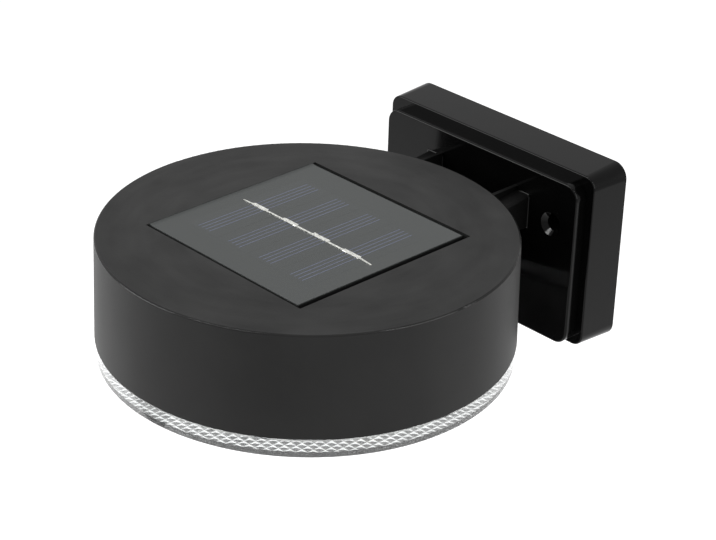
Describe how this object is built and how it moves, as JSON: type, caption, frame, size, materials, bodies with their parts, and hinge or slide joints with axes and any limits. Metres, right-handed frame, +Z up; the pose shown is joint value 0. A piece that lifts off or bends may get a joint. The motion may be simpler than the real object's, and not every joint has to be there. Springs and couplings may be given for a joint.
{
  "type": "solar wall light",
  "caption": "Round solar wall light: flat drum head with a square solar panel on top and a clear prismatic lens below, pushed onto prongs of a stepped wall plate.",
  "frame": {"origin": "on the wall in the middle of the wall plate, midway between its two screw holes", "axes": "+Z up, +Y into the wall, the head stands out along -Y"},
  "size_m": [0.1152, 0.1405, 0.0546],
  "materials": {
    "drum_black": "fine matte mould texture",
    "plate_black": "glossy injection moulding",
    "lens_clear": "clear moulded plastic with diamond prisms",
    "panel_resin": "clear cast resin, satin",
    "panel_board": "dark laminate",
    "solar_cell": "dark silicon",
    "tinned_copper": "tinned, slightly uneven",
    "foam_tape": "closed foam",
    "carrier_white": "white reflector plastic",
    "zinc_steel": "bright zinc plate",
    "cell_sleeve": "shrink sleeve",
    "nickel_strip": "nickel plate",
    "circuit_green": "solder mask",
    "led_clear": "clear epoxy",
    "chip_black": "moulded epoxy",
    "ferrite": "lacquered ferrite",
    "switch_black": "moulded",
    "knob_white": "moulded",
    "lead_red": "insulation",
    "lead_black": "insulation",
    "silicone": "translucent silicone"
  },
  "bodies": {
    "bracket": {"wall_plate": "plate_black"},
    "head": {"housing": "drum_black", "panel_tape": "foam_tape", "panel_board": "panel_board", "solar_cells": "solar_cell", "cell_ribbon": "tinned_copper", "panel_resin": "panel_resin", "carrier": "carrier_white", "carrier_screws": "zinc_steel", "battery": "cell_sleeve", "battery_contact_plus": "nickel_strip", "battery_contact_minus": "nickel_strip", "battery_cover": "carrier_white", "battery_cover_screws": "zinc_steel", "control_board": "circuit_green", "board_screws": "zinc_steel", "leds": "led_clear", "driver_chip": "chip_black", "inductor": "ferrite", "switch_body": "switch_black", "panel_lead_red": "lead_red", "panel_lead_black": "lead_black", "battery_lead_red": "lead_red", "battery_lead_black": "lead_black"},
    "lens": {"lens": "lens_clear", "lens_seal": "silicone"},
    "switch_knob": {"switch_knob": "knob_white"}
  },
  "joints": [
    {"name": "head_slide", "type": "slide", "parent": "bracket", "child": "head", "axis": [0, -1, 0], "range_m": [0, 0.028]},
    {"name": "lens_twist", "type": "hinge", "parent": "head", "child": "lens", "pos_m": [0, -0.0829, -0.01065], "axis": [0, 0, 1], "range_deg": [0, 15]},
    {"name": "switch_slide", "type": "slide", "parent": "head", "child": "switch_knob", "axis": [1, 0, 0], "range_m": [0, 0.002]}
  ]
}
